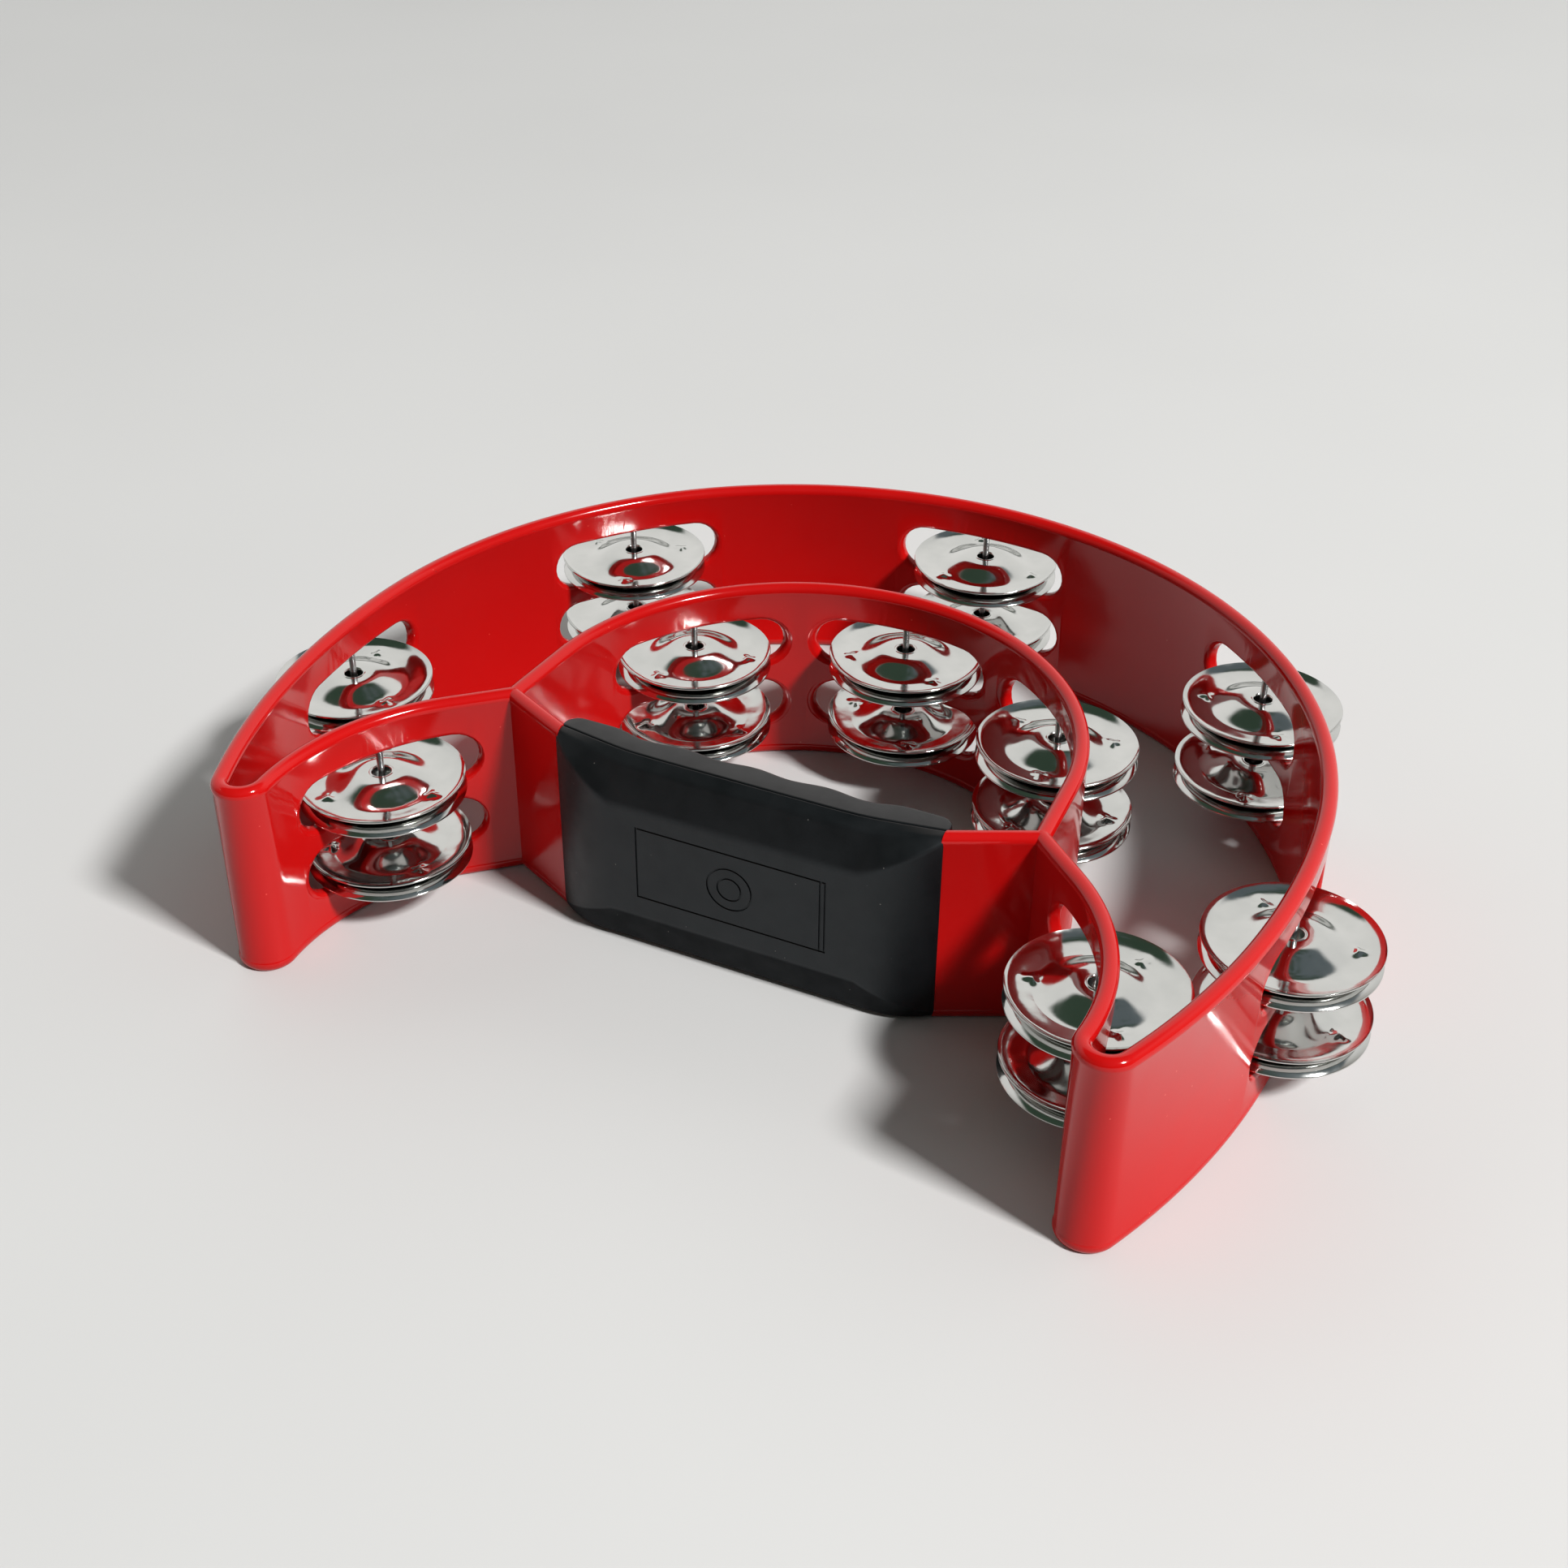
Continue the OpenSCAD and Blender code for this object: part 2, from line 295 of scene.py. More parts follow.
def sweep(name, path, section):
    """A solid with the section all along the path."""
    rings = [[placed(p.x + u * n.x, p.y + u * n.y, z) for u, z in section] for p, n in path]
    return loft(name, rings)


ROUND_STEPS = 12          # steps round each end of a slot
STRAIGHT_STEPS = 15       # steps along each of its straight sides


def stadium(grow):
    """Outline of a slot, grown all round, as (along the wall, height)."""
    r = SLOT_H / 2 + grow
    half = (SLOT_LEN - SLOT_H) / 2
    points = []
    for side, start in ((1, -90), (-1, 90)):
        for i in range(ROUND_STEPS + 1):
            a = rad(start + 180 * i / ROUND_STEPS)
            points.append((side * half + r * math.cos(a), r * math.sin(a)))
        for i in range(1, STRAIGHT_STEPS):
            points.append((side * half * (1 - 2 * i / STRAIGHT_STEPS), side * r))
    return points


EDGE_R = 1.15             # rounding of the slots' edges
EDGE_STEPS = 5            # steps round it
EDGE_WAVE = 0.16          # how uneven it is
EDGE_WAVES = 7            # how often it changes, in half waves
FLARE = 1.5               # how much further out, and wider, the cutter's mouths are


def slot_cutter(place, normal, curve_r, height):
    """A slot-shaped cutter whose mouths flare where they meet the curved faces of the wall.

    curve_r is the radius of the wall's middle, and the normal points away from its centre.
    """
    levels = []
    for i in range(EDGE_STEPS + 1):
        a = rad(90 * i / EDGE_STEPS)
        levels.append((WALL / 2 - EDGE_R * (1 - math.sin(a)), EDGE_R * (1 - math.cos(a))))
    levels.append((WALL / 2 + FLARE, EDGE_R + FLARE))
    levels = [(-depth, grow) for depth, grow in reversed(levels)] + levels
    along = Vector((-normal.y, normal.x))
    rings = []
    for depth, grow in levels:
        ring = []
        outline = stadium(grow)
        for j, (t, z) in enumerate(outline):
            phase = EDGE_WAVES * math.pi * j / len(outline) + height
            wave = EDGE_WAVE * min(grow, EDGE_R) / EDGE_R * math.sin(phase)
            t, z = t * (1 + wave / SLOT_LEN * 2), z * (1 + wave / SLOT_H * 2)
            sag = curve_r - math.sqrt(curve_r ** 2 - t ** 2)
            p = place + along * t + normal * (depth - sag)
            ring.append(placed(p.x, p.y, height + z))
        rings.append(ring)
    return loft("cutter", rings, ROUND_STEPS)


def stations():
    """Each pin's name, its place about the ring's centre in mm, and its wall's normal and radius."""
    found = []
    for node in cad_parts:
        if not node.startswith("pin_"):
            continue
        low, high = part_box(node)
        p = Vector(((low[0] + high[0]) / 2 / MM, (low[1] + high[1]) / 2 / MM + MIDDLE_Y))
        side = 1 if p.x >= 0 else -1
        if "inner" in node:
            centre, curve_r = ARCH_C, ARCH_R
        elif "horn" in node:
            centre, curve_r = Vector((side * ARM_C.x, ARM_C.y)), ARM_R
        elif p.y < 0:
            centre, curve_r = Vector((side * SIDE_C.x, SIDE_C.y)), SIDE_MID
        else:
            centre, curve_r = Vector((0.0, 0.0)), RING_MID
        found.append((node[len("pin_"):], p, (p - centre).normalized(), curve_r))
    return sorted(found)


STATIONS = stations()
UPPER_Z = HEIGHT / 2 + (STRIP_H + SLOT_H) / 2
LOWER_Z = HEIGHT / 2 - (STRIP_H + SLOT_H) / 2
SLIMMER = 0.04            # by which the arch's beads are slimmer, and the stubs' once more
FRAME_SHARP = 28.0        # edges sharper than this angle are shaded as edges


def build_frame():
    """The ring, horns and arms in one sweep, with the arch and the stubs joined to it.

    Each has slightly slimmer beads than the one before, so that no two rims lie at the same height
    where they meet.
    """
    body = sweep("moulded_frame", outer_path(), wall_section())
    arch = sweep("arch", arch_path(), wall_section(SLIMMER))
    stubs = [sweep("stub", stub_path(side), wall_section(2 * SLIMMER)) for side in (-1, 1)]
    combined(body, [arch] + stubs, "UNION")
    cutters = [
        slot_cutter(p, n, curve_r, z)
        for _, p, n, curve_r in STATIONS
        for z in (UPPER_Z, LOWER_Z)
    ]
    combined(body, [joined(cutters)], "DIFFERENCE")
    shade(body, FRAME_SHARP)
    return body


# ---- Grip ----

FRONT_Y = -40.0           # the flat front face
FRONT_FLAT = 33.0         # half length of that flat middle
FRONT_END_R = 25.6        # radius in plan with which the face curves back to the ends
GRIP_TOP = HEIGHT - 0.3
GRIP_LOW = 0.3
GRIP_SHARP = 40.0         # edges sharper than this angle are shaded as edges

SEAM_Y = -32.8            # the seam line along the middle of the top
SEAM_BEND = 31.0          # where the line starts to lean back to the ends, along X
SEAM_SOFT = 4.0           # over what length it starts to lean
SEAM_LEAN = 0.17
SEAM_GROOVE = 0.1         # how far each shell stays back from the line
SEAM_ROUND = 0.5          # rounding of the shells' edges along it

REAR_Y = -24.0            # the rear face near the ends
REAR_SHOULDER = 3.6       # radius in plan with which it turns in at the ends
FINGERS_Y = -25.5         # the rear face along the middle, where the fingers go
FINGERS_WAVE = 0.5
FINGERS_LENGTH = 19.0
FINGERS_END = (31.0, 9.0)             # where the fingers' part ends, and over what length
REAR_LEAST = 1.4          # least thickness of the rear shell
REAR_ROUND = 1.3

# Measures of the front shell's section. The second number is the change toward the grip's ends
BAND_EDGE = (-2.9, 0.9)   # front edge of the top band, from the seam
BAND_TOP = (-2.2, 1.9)    # height of that edge, from the grip's top
BAND_ROUND = (0.9, -0.2)
BAND_LEAST = 0.12         # least that it stays behind the front face
FACE_TOP = (42.4, 9.6)    # height of the front face's upper edge
FACE_TOP_ROUND = (1.3, -0.3)
FACE_LOW = (10.5, -8.3)   # height of its lower edge
FACE_LOW_ROUND = (1.1, -0.6)
FOOT_EDGE = (2.4, -2.1)   # front edge of the foot, from the front face
FOOT_LEAST = 0.6          # least that it stays in front of the seam
FOOT_ROUND = (0.9, -0.5)
FOOT_Z = 1.1
FOOT_SEAM_ROUND = 0.3


def smoothstep(x):
    """0 up to 0, 1 from 1 on, and an even curve between."""
    x = max(0.0, min(1.0, x))
    return x * x * (3 - 2 * x)


def blend_even(a, b, t):
    """From a at 0 to b at 1, in a straight line."""
    return a + (b - a) * t


def blend(a, b, t):
    """From a at 0 to b at 1, along the smooth curve."""
    return blend_even(a, b, smoothstep(t))


def seam_y(x):
    """The seam runs straight along the middle and then leans back toward the stubs."""
    past = abs(x) - SEAM_BEND
    return SEAM_Y + SEAM_LEAN * (past + math.sqrt(past * past + SEAM_SOFT * SEAM_SOFT)) / 2


def front_y(x):
    """The front face, flat along the middle and curved back toward the ends."""
    past = max(0.0, abs(x) - FRONT_FLAT)
    return FRONT_Y + FRONT_END_R - math.sqrt(FRONT_END_R ** 2 - past ** 2)


def toward_end(x):
    """0 along the flat middle of the front face, rising evenly to 1 at the grip's end."""
    return max(0.0, abs(x) - FRONT_FLAT) / (GRIP_HALF - FRONT_FLAT)


def rear_y(x):
    """The rear face, with gentle finger waves along the middle and a shoulder at each end."""
    past = abs(x) - GRIP_HALF + REAR_SHOULDER
    if past > 0.0:
        past = min(REAR_SHOULDER, past)
        return REAR_Y - REAR_SHOULDER + math.sqrt(REAR_SHOULDER ** 2 - past ** 2)
    fingers = FINGERS_Y + FINGERS_WAVE * math.cos(2 * math.pi * abs(x) / FINGERS_LENGTH)
    end, length = FINGERS_END
    return blend(fingers, REAR_Y, (abs(x) - end) / length)


CORNER_STEPS = 5
CORNER_SHARE = 0.42       # the most of a side that the rounding of a corner takes


def rounded_ring(corners):
    """A closed outline of (y, z, radius) corners, each corner eased by a short curve."""
    points = []
    n = len(corners)
    for i, (y, z, r) in enumerate(corners):
        v = Vector((y, z))
        ends = []
        for other in (corners[i - 1], corners[(i + 1) % n]):
            d = Vector(other[:2]) - v
            ends.append(v + d * min(r / max(d.length, 1e-6), CORNER_SHARE))
        for k in range(CORNER_STEPS + 1):
            t = k / CORNER_STEPS
            points.append(ends[0] * (1 - t) ** 2 + v * 2 * t * (1 - t) + ends[1] * t * t)
    return points


def front_section(x):
    """Corners of the front shell's section at a place along X, as (y, z, radius)."""
    end = toward_end(x)
    seam = seam_y(x) - SEAM_GROOVE
    face = front_y(x)

    def measure(start, change):
        return start + change[0] + change[1] * end

    band = max(measure(seam, BAND_EDGE), face + BAND_LEAST)
    foot = min(measure(face, FOOT_EDGE), seam - FOOT_LEAST)
    return [
        (seam, GRIP_TOP, SEAM_ROUND),
        (band, measure(GRIP_TOP, BAND_TOP), measure(0.0, BAND_ROUND)),
        (face, measure(0.0, FACE_TOP), measure(0.0, FACE_TOP_ROUND)),
        (face, measure(0.0, FACE_LOW), measure(0.0, FACE_LOW_ROUND)),
        (foot, FOOT_Z, measure(0.0, FOOT_ROUND)),
        (seam, GRIP_LOW, FOOT_SEAM_ROUND),
    ]


def rear_section(x):
    """Corners of the rear shell's section at a place along X, as (y, z, radius)."""
    seam = seam_y(x) + SEAM_GROOVE
    rear = max(rear_y(x), seam + REAR_LEAST)
    return [
        (seam, GRIP_TOP, SEAM_ROUND), (seam, GRIP_LOW, FOOT_SEAM_ROUND),
        (rear, GRIP_LOW, REAR_ROUND), (rear, GRIP_TOP, REAR_ROUND),
    ]


END_EASE = 0.4            # rounding of the shells' ends
END_STEPS = (0.0, 0.15, END_EASE)     # places along that rounding, from the end
BODY_START = 0.8          # from there on the places lie 1 mm apart


def grip_stations():
    """Places along X, closer together where the ends are rounded off."""
    half = [GRIP_HALF - step for step in END_STEPS]
    half += [GRIP_HALF - BODY_START - i for i in range(int(GRIP_HALF - BODY_START))]
    return [-x for x in half] + list(reversed(half))


def shell(name, section):
    """One half of the grip, with its ends slightly eased."""
    rings = []
    for x in grip_stations():
        ring = rounded_ring(section(x))
        past = max(0.0, abs(x) - (GRIP_HALF - END_EASE))
        ease = END_EASE - math.sqrt(max(0.0, END_EASE ** 2 - past * past))
        middle = sum(ring, Vector((0.0, 0.0))) / len(ring)
        eased = []
        for p in ring:
            d = middle - p
            eased.append(p + d.normalized() * ease if ease else p)
        rings.append([placed(x, p.x, p.y) for p in eased])
    return loft(name, rings)


BORDER = (51.0, 21.0)     # the sunk border on the front face
LINE_W = 0.5              # width of its lines
LINE_DEPTH = 0.35
SECOND_LINE = 1.3         # from the right edge to the second line beside it
RING_RADII = (6.2, 3.4)   # the two rings in the middle
CUT_START = FRONT_Y - 1.0


def bar(x0, x1, z0, z1):
    """A box that sinks into the front face."""
    far = FRONT_Y + LINE_DEPTH
    corners = ((CUT_START, z0), (far, z0), (far, z1), (CUT_START, z1))
    return loft("cutter", [[placed(x, y, z) for y, z in corners] for x in (x0, x1)])


def disc(r, depth, around=48):
    """A disc that sinks into the front face by the given depth."""
    turns = [2 * math.pi * i / around for i in range(around)]
    outline = [(r * math.cos(a), HEIGHT / 2 + r * math.sin(a)) for a in turns]
    return loft("cutter", [[placed(x, y, z) for x, z in outline] for y in (CUT_START, FRONT_Y + depth)])


def cut_border(front):
    """Sinks the plain border, with a second line beside its right edge, and two plain rings."""
    w, h = BORDER[0] / 2, BORDER[1] / 2
    low, high = HEIGHT / 2 - h, HEIGHT / 2 + h
    second = w - SECOND_LINE
    lines = [
        bar(-w, w, high - LINE_W, high),
        bar(-w, w, low, low + LINE_W),
        bar(-w, -w + LINE_W, low, high),
        bar(w - LINE_W, w, low, high),
        bar(second - LINE_W, second, low, high),
    ]
    outline = combined(lines[0], lines[1:], "UNION")
    for r in RING_RADII:
        hollow = disc(r - LINE_W, LINE_DEPTH + 1.0)
        combined(outline, [combined(disc(r, LINE_DEPTH), [hollow], "DIFFERENCE")], "UNION")
    combined(front, [outline], "DIFFERENCE")


def build_grip(mat):
    front = shell("grip_shell_front", front_section)
    cut_border(front)
    rear = shell("grip_shell_rear", rear_section)
    for obj, node in ((front, "grip_front"), (rear, "grip_rear")):
        shade(obj, GRIP_SHARP)
        dress(obj, mat)
        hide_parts(node)
        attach(obj, "frame")


# ---- Materials ----

def material(name):
    """A new material, with its node tree and its Principled shader."""
    mat = bpy.data.materials.new(name)
    mat.use_nodes = True
    tree = mat.node_tree
    return mat, tree, tree.nodes["Principled BSDF"]


def noise(tree, scale, detail=4.0, roughness=0.5):
    """A noise texture in object space, in cycles per metre."""
    coords = tree.nodes.new("ShaderNodeTexCoord")
    texture = tree.nodes.new("ShaderNodeTexNoise")
    texture.inputs["Scale"].default_value = scale
    texture.inputs["Detail"].default_value = detail
    texture.inputs["Roughness"].default_value = roughness
    tree.links.new(coords.outputs["Object"], texture.inputs["Vector"])
    return texture.outputs["Fac"]


def ramp(tree, fac, low, high, start=0.3, end=0.7):
    """A colour ramp between two greys or colours."""
    node = tree.nodes.new("ShaderNodeValToRGB")
    node.color_ramp.elements[0].position = start
    node.color_ramp.elements[1].position = end
    for element, value in zip(node.color_ramp.elements, (low, high)):
        element.color = (value, value, value, 1) if isinstance(value, float) else (*value, 1)
    tree.links.new(fac, node.inputs["Fac"])
    return node.outputs["Color"]


def bump(tree, shader, height, strength, distance, below=None):
    """Bumps the shader's surface, on top of the bump below if there is one."""
    node = tree.nodes.new("ShaderNodeBump")
    node.inputs["Strength"].default_value = strength
    node.inputs["Distance"].default_value = distance
    tree.links.new(height, node.inputs["Height"])
    if below is not None:
        tree.links.new(below, node.inputs["Normal"])
    tree.links.new(node.outputs["Normal"], shader.inputs["Normal"])
    return node.outputs["Normal"]


def mixed(tree, factor, base, other):
    """The base colour turned into the other, which is a plain colour or an output."""
    mix = tree.nodes.new("ShaderNodeMix")
    mix.data_type = "RGBA"
    tree.links.new(factor, mix.inputs["Factor"])
    tree.links.new(base, mix.inputs[6])
    if isinstance(other, tuple):
        mix.inputs[7].default_value = (*other, 1)
    else:
        tree.links.new(other, mix.inputs[7])
    return mix.outputs[2]


def specks(tree, shader, base, colour, scale, size):
    """Scatters fine specks of another colour over the base colour."""
    coords = tree.nodes.new("ShaderNodeTexCoord")
    cells = tree.nodes.new("ShaderNodeTexVoronoi")
    cells.inputs["Scale"].default_value = scale
    tree.links.new(coords.outputs["Object"], cells.inputs["Vector"])
    spot = tree.nodes.new("ShaderNodeMath")
    spot.operation = "LESS_THAN"
    spot.inputs[1].default_value = size
    tree.links.new(cells.outputs["Distance"], spot.inputs[0])
    tree.links.new(mixed(tree, spot.outputs["Value"], base, colour), shader.inputs["Base Color"])


def facing(tree, sign, start, end, low, high):
    """A value that goes from low to high as the surface turns up (sign 1) or down (sign -1)."""
    coords = tree.nodes.new("ShaderNodeTexCoord")
    split = tree.nodes.new("ShaderNodeSeparateXYZ")
    tree.links.new(coords.outputs["Normal"], split.inputs["Vector"])
    turned = tree.nodes.new("ShaderNodeMath")
    turned.operation = "MULTIPLY"
    turned.inputs[1].default_value = sign
    tree.links.new(split.outputs["Z"], turned.inputs[0])
    spread = tree.nodes.new("ShaderNodeMapRange")
    spread.interpolation_type = "SMOOTHSTEP"
    spread.inputs["From Min"].default_value = start
    spread.inputs["From Max"].default_value = end
    spread.inputs["To Min"].default_value = low
    spread.inputs["To Max"].default_value = high
    tree.links.new(turned.outputs["Value"], spread.inputs["Value"])
    return spread.outputs["Result"]


def painted_top_light(tree, base):
    """Paints light onto the rubber where it faces up, turning it a lighter brown-grey."""
    # Painted light: where the surface faces up, the colour moves toward a lighter brown-grey
    top_light = facing(tree, 1.0, 0.85, 1.0, 0.0, 0.8)
    return mixed(tree, top_light, base, (0.017, 0.0145, 0.014))


def red_plastic():
    """Glossy moulded plastic with slight sink waves and a few specks."""
    mat, tree, shader = material("red_plastic")
    shader.inputs["Specular IOR Level"].default_value = 0.30
    shader.inputs["Coat Weight"].default_value = 0.10
    shader.inputs["Coat Roughness"].default_value = 0.04
    base = ramp(tree, noise(tree, 14.0, 3.0), (0.46, 0.0036, 0.0036), (0.51, 0.0046, 0.0046))
    specks(tree, shader, base, (0.62, 0.05, 0.04), 160.0, 0.035)
    tree.links.new(ramp(tree, noise(tree, 60.0), 0.09, 0.15), shader.inputs["Roughness"])
    waves = bump(tree, shader, noise(tree, 48.0, 1.5), 0.45, 0.0006)
    bump(tree, shader, noise(tree, 700.0, 2.0), 0.06, 0.0001, waves)
    return mat


def grip_rubber():
    """Satin black rubber with a very fine grain and painted light where it faces up, duller where it
    faces down.
    """
    mat, tree, shader = material("grip_rubber")
    base = ramp(tree, noise(tree, 40.0, 5.0), (0.0007, 0.0011, 0.0018), (0.0018, 0.0024, 0.0034))
    # The up-facing top gets painted light; the pale specks are the rubber's own specks
    specks(tree, shader, painted_top_light(tree, base), (0.16, 0.15, 0.14), 230.0, 0.03)
    shader.inputs["Specular Tint"].default_value = (0.88, 0.95, 1.0, 1)
    shader.inputs["Specular IOR Level"].default_value = 0.46
    duller = tree.nodes.new("ShaderNodeMath")
    duller.operation = "ADD"
    tree.links.new(ramp(tree, noise(tree, 180.0, 6.0), 0.40, 0.52), duller.inputs[0])
    tree.links.new(facing(tree, -1.0, 0.06, 0.2, 0.0, 0.45), duller.inputs[1])
    tree.links.new(duller.outputs["Value"], shader.inputs["Roughness"])
    grain = bump(tree, shader, noise(tree, 3200.0, 4.0, 0.7), 0.22, 0.00012)
    bump(tree, shader, noise(tree, 120.0, 2.0), 0.1, 0.0004, grain)
    return mat


def nickel():
    """Bright plating over pressed sheet that is not quite flat."""
    mat, tree, shader = material("jingle_nickel")
    shader.inputs["Metallic"].default_value = 1.0
    tree.links.new(
        ramp(tree, noise(tree, 90.0, 3.0), (0.60, 0.61, 0.595), (0.68, 0.685, 0.67)),
        shader.inputs["Base Color"])
    tree.links.new(ramp(tree, noise(tree, 300.0, 6.0), 0.07, 0.14), shader.inputs["Roughness"])
    ripples = bump(tree, shader, noise(tree, 130.0, 1.0), 0.35, 0.0004)
    bump(tree, shader, noise(tree, 420.0, 2.0), 0.10, 0.0001, ripples)
    return mat


def pin_steel():
    """Drawn wire."""
    mat, tree, shader = material("pin_steel")
    shader.inputs["Metallic"].default_value = 1.0
    tree.links.new(
        ramp(tree, noise(tree, 400.0, 3.0), (0.46, 0.46, 0.47), (0.66, 0.66, 0.67)),
        shader.inputs["Base Color"])
    tree.links.new(ramp(tree, noise(tree, 900.0, 4.0), 0.16, 0.28), shader.inputs["Roughness"])
    bump(tree, shader, noise(tree, 1500.0, 2.0), 0.15, 0.00005)
    return mat


def dress(obj, mat):
    """Gives a mesh its one material."""
    obj.data.materials.clear()
    obj.data.materials.append(mat)


def repaint(node, mat):
    """Gives a CAD node its material."""
    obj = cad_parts[node]
    for mat_slot in obj.material_slots:
        mat_slot.material = mat
    if not obj.material_slots:
        obj.data.materials.append(mat)


# ---- Jingles ----

HOLE_R = 2.4
LIP_R = 0.4               # radius of the rolled lip round the hole
LIP_H = 0.15              # its height above the boss's flat top
LIP_DEPTH = 0.25          # and how far it reaches down inside the hole
LIP_STEPS = 5
BOSS_FLAT_R = 5.0
BOSS_TOP = 3.3            # height of the boss's flat top above the seat
BOSS_STEPS = 3
SEAT_R = 14.3             # where the underside touches the other jingle of the pair
SLOPE_STEPS = 20
RIM_TOP = 2.15            # height of the rim above the seat
RIM_STEPS = 18
DISH_SLOPE = 0.3          # share of the rim's rise that comes evenly across the flange
DISH_POWER = 5
SHEET = 0.5               # thickness of the sheet
EDGE_OUT = 0.15           # how far the rounded edge of the sheet stands out
EDGE_CORNER = Vector((-0.04, 0.14))   # from the middle of that edge to its upper corner
DIMPLES = 3
DIMPLE_AT = 14.8          # radius on which the dimples lie
DIMPLE_H = 0.7
DIMPLE_R = 1.5
DIMPLE_CORNERS = 3
DIMPLE_POINT = 0.3        # how much further a dimple reaches at its corners
DIMPLE_REACH = 4 * DIMPLE_R
JINGLE_AROUND = 168       # steps round the jingle
JINGLE_SHARP = 45.0
SPIN_STEP = 47.0          # by how much each jingle is turned from the one before, in degrees


def jingle_profile():
    """Upper face of a jingle as (radius, height above the seat), from the hole out to the rim."""
    points = []
    for i in range(LIP_STEPS):
        a = math.pi * (1 - i / LIP_STEPS)
        points.append((HOLE_R + LIP_R + LIP_R * math.cos(a),
                       BOSS_TOP - LIP_DEPTH + (LIP_DEPTH + LIP_H) * math.sin(a)))
    start = HOLE_R + 2 * LIP_R
    for i in range(BOSS_STEPS + 1):
        points.append((start + (BOSS_FLAT_R - start) * i / BOSS_STEPS, BOSS_TOP))
    for i in range(1, SLOPE_STEPS + 1):
        t = i / SLOPE_STEPS
        points.append((blend_even(BOSS_FLAT_R, SEAT_R, t), blend(BOSS_TOP, SHEET, t)))
    for i in range(1, RIM_STEPS + 1):
        t = i / RIM_STEPS
        rise = DISH_SLOPE * t + (1 - DISH_SLOPE) * t ** DISH_POWER
        points.append((blend_even(SEAT_R, JINGLE_R - EDGE_OUT, t), blend_even(SHEET, RIM_TOP, rise)))
    return points


def dimple(x, y):
    """Height of the punched dimples at a place on the flange."""
    height = 0.0
    for k in range(DIMPLES):
        a = rad(360 / DIMPLES * k)
        along = x * math.cos(a) + y * math.sin(a) - DIMPLE_AT
        across = -x * math.sin(a) + y * math.cos(a)
        d = math.hypot(along, across)
        if d > DIMPLE_REACH:
            continue
        corner = 1 + DIMPLE_POINT * math.cos(DIMPLE_CORNERS * math.atan2(across, along))
        height += DIMPLE_H * math.exp(-(d / (DIMPLE_R * corner)) ** 2)
    return height


def jingle_mesh():
    """One jingle, boss up, with its seat at height 0, in metres."""
    upper = [Vector(p) for p in jingle_profile()]
    lower = [p - Vector((0.0, SHEET)) for p in upper]
    edge = (upper[-1] + lower[-1]) / 2 + Vector((EDGE_OUT, 0.0))
    lower_corner = Vector((EDGE_CORNER.x, -EDGE_CORNER.y))
    section = upper + [edge + EDGE_CORNER, edge + lower_corner] + list(reversed(lower))
    verts = []
    for k in range(JINGLE_AROUND):
        turn = 2 * math.pi * k / JINGLE_AROUND
        c, s = math.cos(turn), math.sin(turn)
        for p in section:
            x, y = p.x * c, p.x * s
            lift = dimple(x, y) if p.x > BOSS_FLAT_R else 0.0
            verts.append((x * MM, y * MM, (p.y + lift) * MM))
    faces = bridge([section] * JINGLE_AROUND, loop=True)
    mesh = bpy.data.meshes.new("jingle")
    mesh.from_pydata(verts, [], faces)
    bm = bmesh.new()
    bm.from_mesh(mesh)
    bmesh.ops.recalc_face_normals(bm, faces=bm.faces)
    bm.to_mesh(mesh)
    bm.free()
    mesh.polygons.foreach_set("use_smooth", [True] * len(mesh.polygons))
    mesh.set_sharp_from_angle(angle=rad(JINGLE_SHARP))
    return mesh


def build_jingles(mat):
    """Every jingle is the same mesh, put where its CAD node lies and turned over for b and d."""
    mesh = jingle_mesh()
    mesh.materials.append(mat)
    reach = BOSS_TOP + LIP_H
    for index, (name, p, _, _) in enumerate(STATIONS):
        for k, letter in enumerate("abcd"):
            node = f"jingle_{name}_{letter}"
            low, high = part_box(node)
            boss_up = letter in "ac"
            obj = bpy.data.objects.new(f"disc_{name}_{letter}", mesh)
            bpy.context.scene.collection.objects.link(obj)
            seat = high[2] / MM - reach if boss_up else low[2] / MM + reach
            turn = Matrix.Rotation(rad(SPIN_STEP * (index * 4 + k)), 4, "Z")
            flip = Matrix.Identity(4) if boss_up else Matrix.Rotation(math.pi, 4, "X")
            obj.matrix_world = Matrix.Translation(placed(p.x, p.y, seat)) @ turn @ flip
            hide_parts(node)
            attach(obj, node)


# ---- Assembly ----

RED = red_plastic()
RUBBER = grip_rubber()
NICKEL = nickel()
STEEL = pin_steel()

moulded = build_frame()
dress(moulded, RED)
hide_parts("frame")
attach(moulded, "frame")

build_grip(RUBBER)
for station in STATIONS:
    repaint("pin_" + station[0], STEEL)
build_jingles(NICKEL)


# ---- Stage, light and camera ----

FLOOR_REACH = 6.0
KEY_PLACE = (3.1, -0.78, 3.15)
KEY_AIM = (0.0, 0.0, 0.02)
KEY_SIZE = 0.62
KEY_POWER = 262.0
KEY_COLOUR = (1.0, 0.988, 0.972)

# Where the room is brightest, and its colours from the dimmest side round to the brightest
BRIGHT_SIDE = (-0.38, 0.85, 0.36)
ROOM = (
    (0.0, (0.035, 0.029, 0.022)),
    (0.42, (0.19, 0.165, 0.14)),
    (0.8, (0.89, 0.88, 0.86)),
    (1.0, (0.96, 0.945, 0.92)),
)
ROOM_STRENGTH = 0.97
BACKDROP = (0.72, 0.72, 0.71)

# The ceiling patch: the middle of it, where its edge fades out, and its two colours
PATCH_MIDDLE = (0.12, -0.22, 0.968)
PATCH_EDGE = (0.57, 0.68)
PATCH_GREEN = (0.040, 0.066, 0.045)
PATCH_GREY = (0.12, 0.145, 0.155)

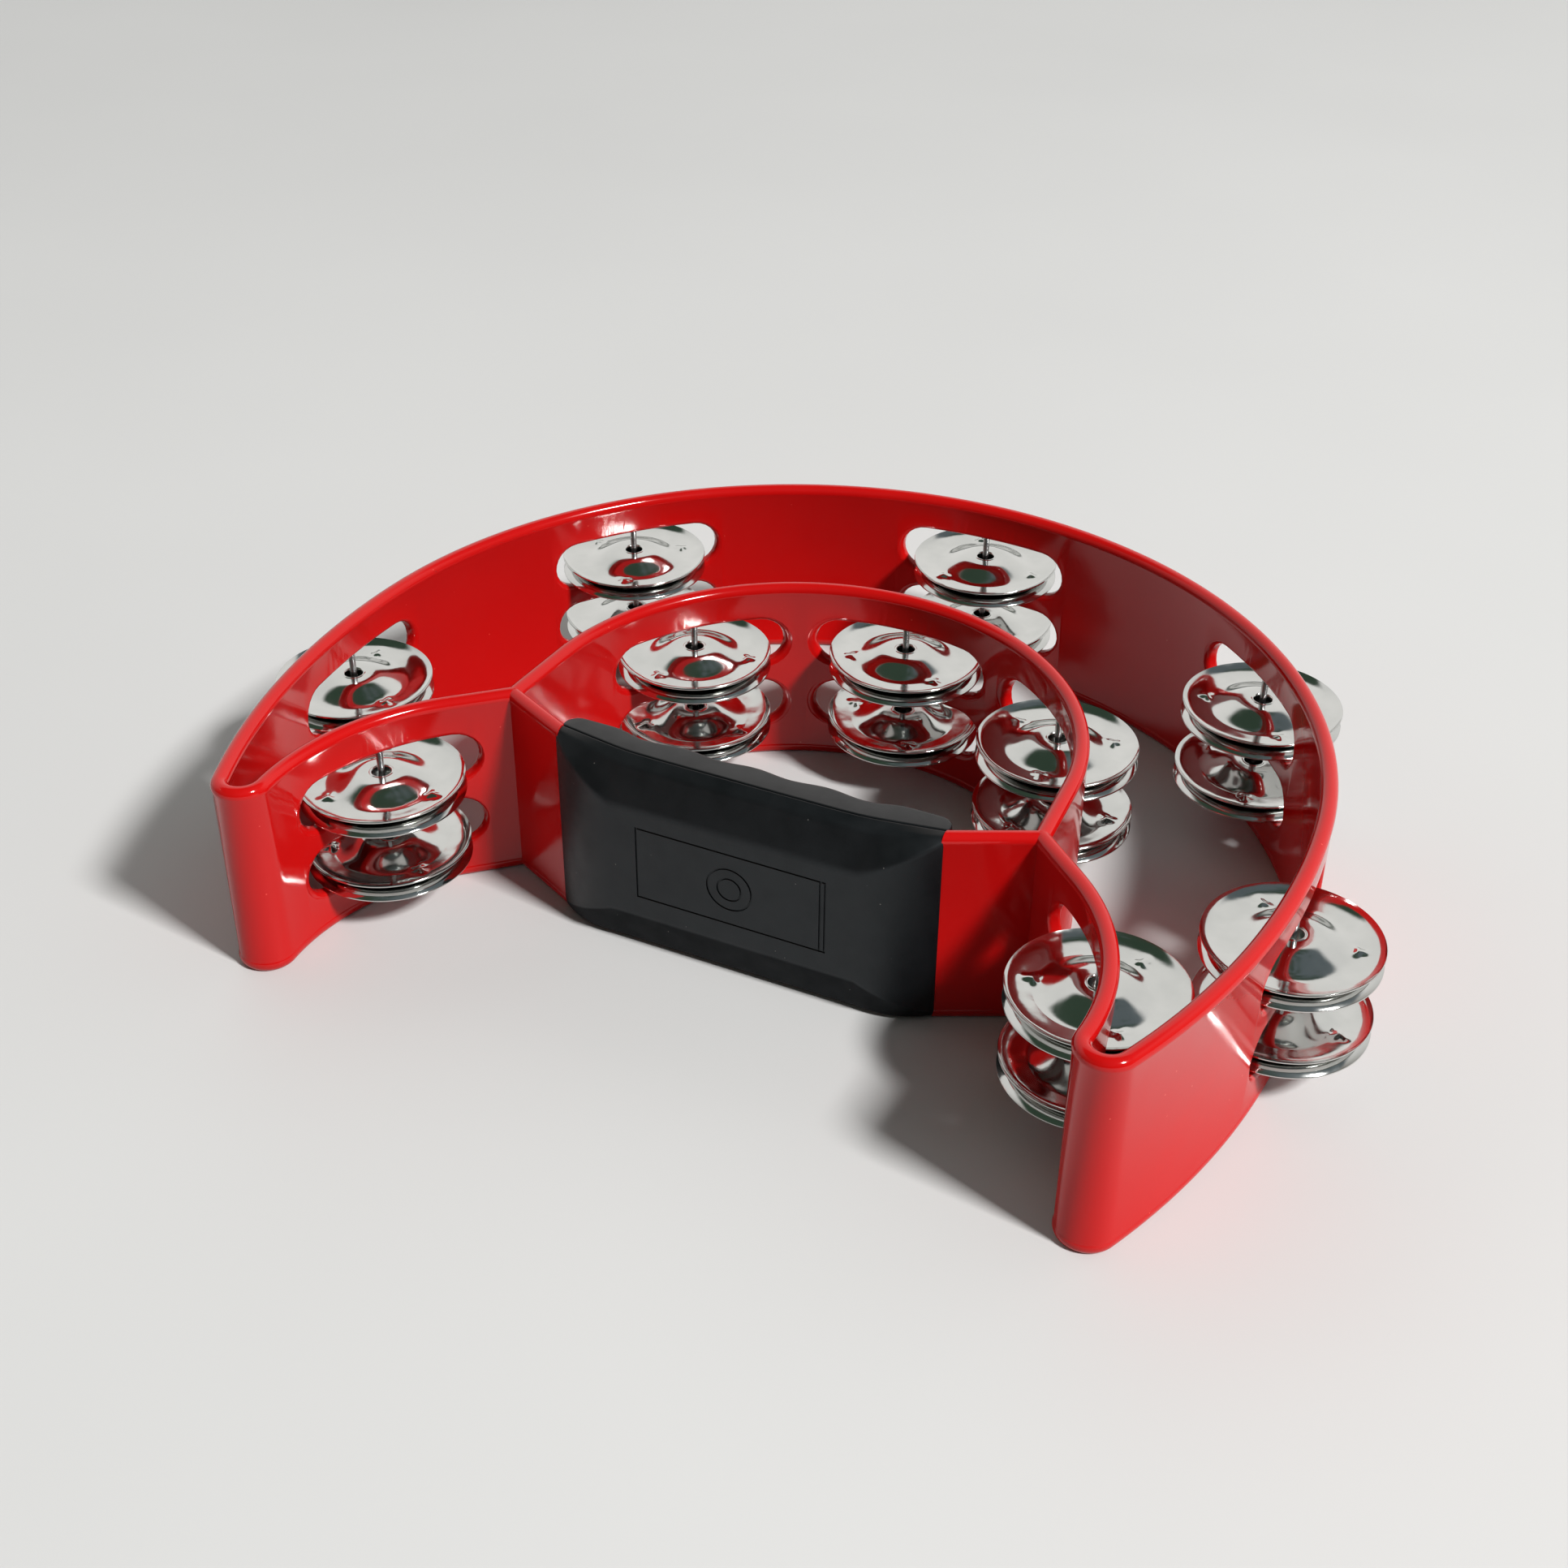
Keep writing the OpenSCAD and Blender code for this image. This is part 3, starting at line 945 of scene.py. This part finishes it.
# The camera as fitted to the photograph: mm about the ring's centre, and degrees
CAMERA_PLACE = (187.56, -404.0, 334.84)
CAMERA_AZIMUTH = 25.44
CAMERA_DOWN = 34.09
CAMERA_ROLL = 0.46
CAMERA_LENS = 48.97


def build_floor():
    """A wide, pale, even floor."""
    corners = [(-1, -1), (1, -1), (1, 1), (-1, 1)]
    floor = new_object("floor", [(x * FLOOR_REACH, y * FLOOR_REACH, 0) for x, y in corners],
                       [(0, 1, 2, 3)])
    mat, tree, shader = material("floor")
    tree.links.new(
        ramp(tree, noise(tree, 3.0, 3.0), (0.60, 0.60, 0.60), (0.63, 0.63, 0.63)),
        shader.inputs["Base Color"])
    shader.inputs["Roughness"].default_value = 0.6
    shader.inputs["Specular IOR Level"].default_value = 0.3
    dress(floor, mat)


def build_key():
    """One soft light, high on the right."""
    data = bpy.data.lights.new("key", "AREA")
    data.energy = KEY_POWER
    data.color = KEY_COLOUR
    data.size = KEY_SIZE
    key = bpy.data.objects.new("key", data)
    key.location = KEY_PLACE
    bpy.context.scene.collection.objects.link(key)
    key.rotation_euler = (Vector(KEY_AIM) - key.location).to_track_quat("-Z", "Y").to_euler()


def toward(tree, directions, middle):
    """1 in the middle direction, falling to -1 in the opposite one."""
    product = tree.nodes.new("ShaderNodeVectorMath")
    product.operation = "DOT_PRODUCT"
    product.inputs[1].default_value = middle
    tree.links.new(directions, product.inputs[0])
    return product.outputs["Value"]


def room_colours(tree, directions):
    """Dim in front and bright behind."""
    shift = tree.nodes.new("ShaderNodeMapRange")
    shift.inputs["From Min"].default_value = -1.0
    tree.links.new(toward(tree, directions, BRIGHT_SIDE), shift.inputs["Value"])
    sides = tree.nodes.new("ShaderNodeValToRGB")
    elements = sides.color_ramp.elements
    sides.color_ramp.interpolation = "EASE"
    elements[0].color = (*ROOM[0][1], 1)
    elements[1].color = (*ROOM[-1][1], 1)
    for position, colour in ROOM[1:-1]:
        elements.new(position).color = (*colour, 1)
    tree.links.new(shift.outputs["Result"], sides.inputs["Fac"])
    return sides.outputs["Color"]


def patch_colours(tree, directions):
    """Streaks that turn from dark green to grey from left to right."""
    streaks = tree.nodes.new("ShaderNodeTexNoise")
    streaks.inputs["Scale"].default_value = 4.0
    streaks.inputs["Detail"].default_value = 3.0
    streaks.inputs["Distortion"].default_value = 1.5
    tree.links.new(directions, streaks.inputs["Vector"])
    split = tree.nodes.new("ShaderNodeSeparateXYZ")
    tree.links.new(directions, split.inputs["Vector"])
    drift = tree.nodes.new("ShaderNodeMath")
    drift.operation = "MULTIPLY_ADD"
    drift.inputs[1].default_value = 0.9
    tree.links.new(split.outputs["X"], drift.inputs[0])
    tree.links.new(streaks.outputs["Fac"], drift.inputs[2])
    return ramp(tree, drift.outputs["Value"], PATCH_GREEN, PATCH_GREY, 0.42, 0.70)


def build_world():
    """A room that is bright behind and dim in front, with a dark patch of ceiling overhead.

    Where the room itself shows past the floor it is plain and pale.
    """
    world = bpy.data.worlds.new("room")
    bpy.context.scene.world = world
    world.use_nodes = True
    tree = world.node_tree
    background = tree.nodes["Background"]
    directions = tree.nodes.new("ShaderNodeTexCoord").outputs["Generated"]
    room = room_colours(tree, directions)
    patch = patch_colours(tree, directions)

    overhead = tree.nodes.new("ShaderNodeMapRange")
    overhead.interpolation_type = "SMOOTHSTEP"
    overhead.inputs["From Min"].default_value = PATCH_EDGE[0]
    overhead.inputs["From Max"].default_value = PATCH_EDGE[1]
    tree.links.new(toward(tree, directions, PATCH_MIDDLE), overhead.inputs["Value"])
    lit = mixed(tree, overhead.outputs["Result"], room, patch)

    rays = tree.nodes.new("ShaderNodeLightPath")
    seen = mixed(tree, rays.outputs["Is Camera Ray"], lit, BACKDROP)
    tree.links.new(seen, background.inputs["Color"])
    background.inputs["Strength"].default_value = ROOM_STRENGTH


def build_camera():
    """The photograph's camera."""
    data = bpy.data.cameras.new("camera")
    data.lens = CAMERA_LENS
    data.sensor_width = 36.0
    data.clip_start = 0.01
    camera = bpy.data.objects.new("camera", data)
    camera.location = placed(*CAMERA_PLACE)
    azimuth, down = rad(CAMERA_AZIMUTH), rad(CAMERA_DOWN)
    look = Vector((-math.sin(azimuth) * math.cos(down),
                   math.cos(azimuth) * math.cos(down),
                   -math.sin(down)))
    roll = Matrix.Rotation(rad(CAMERA_ROLL), 3, "Z")
    camera.rotation_euler = (look.to_track_quat("-Z", "Y").to_matrix() @ roll).to_euler()
    bpy.context.scene.collection.objects.link(camera)
    bpy.context.scene.camera = camera


build_floor()
build_world()
build_key()
build_camera()

bpy.context.scene.view_settings.view_transform = "Standard"
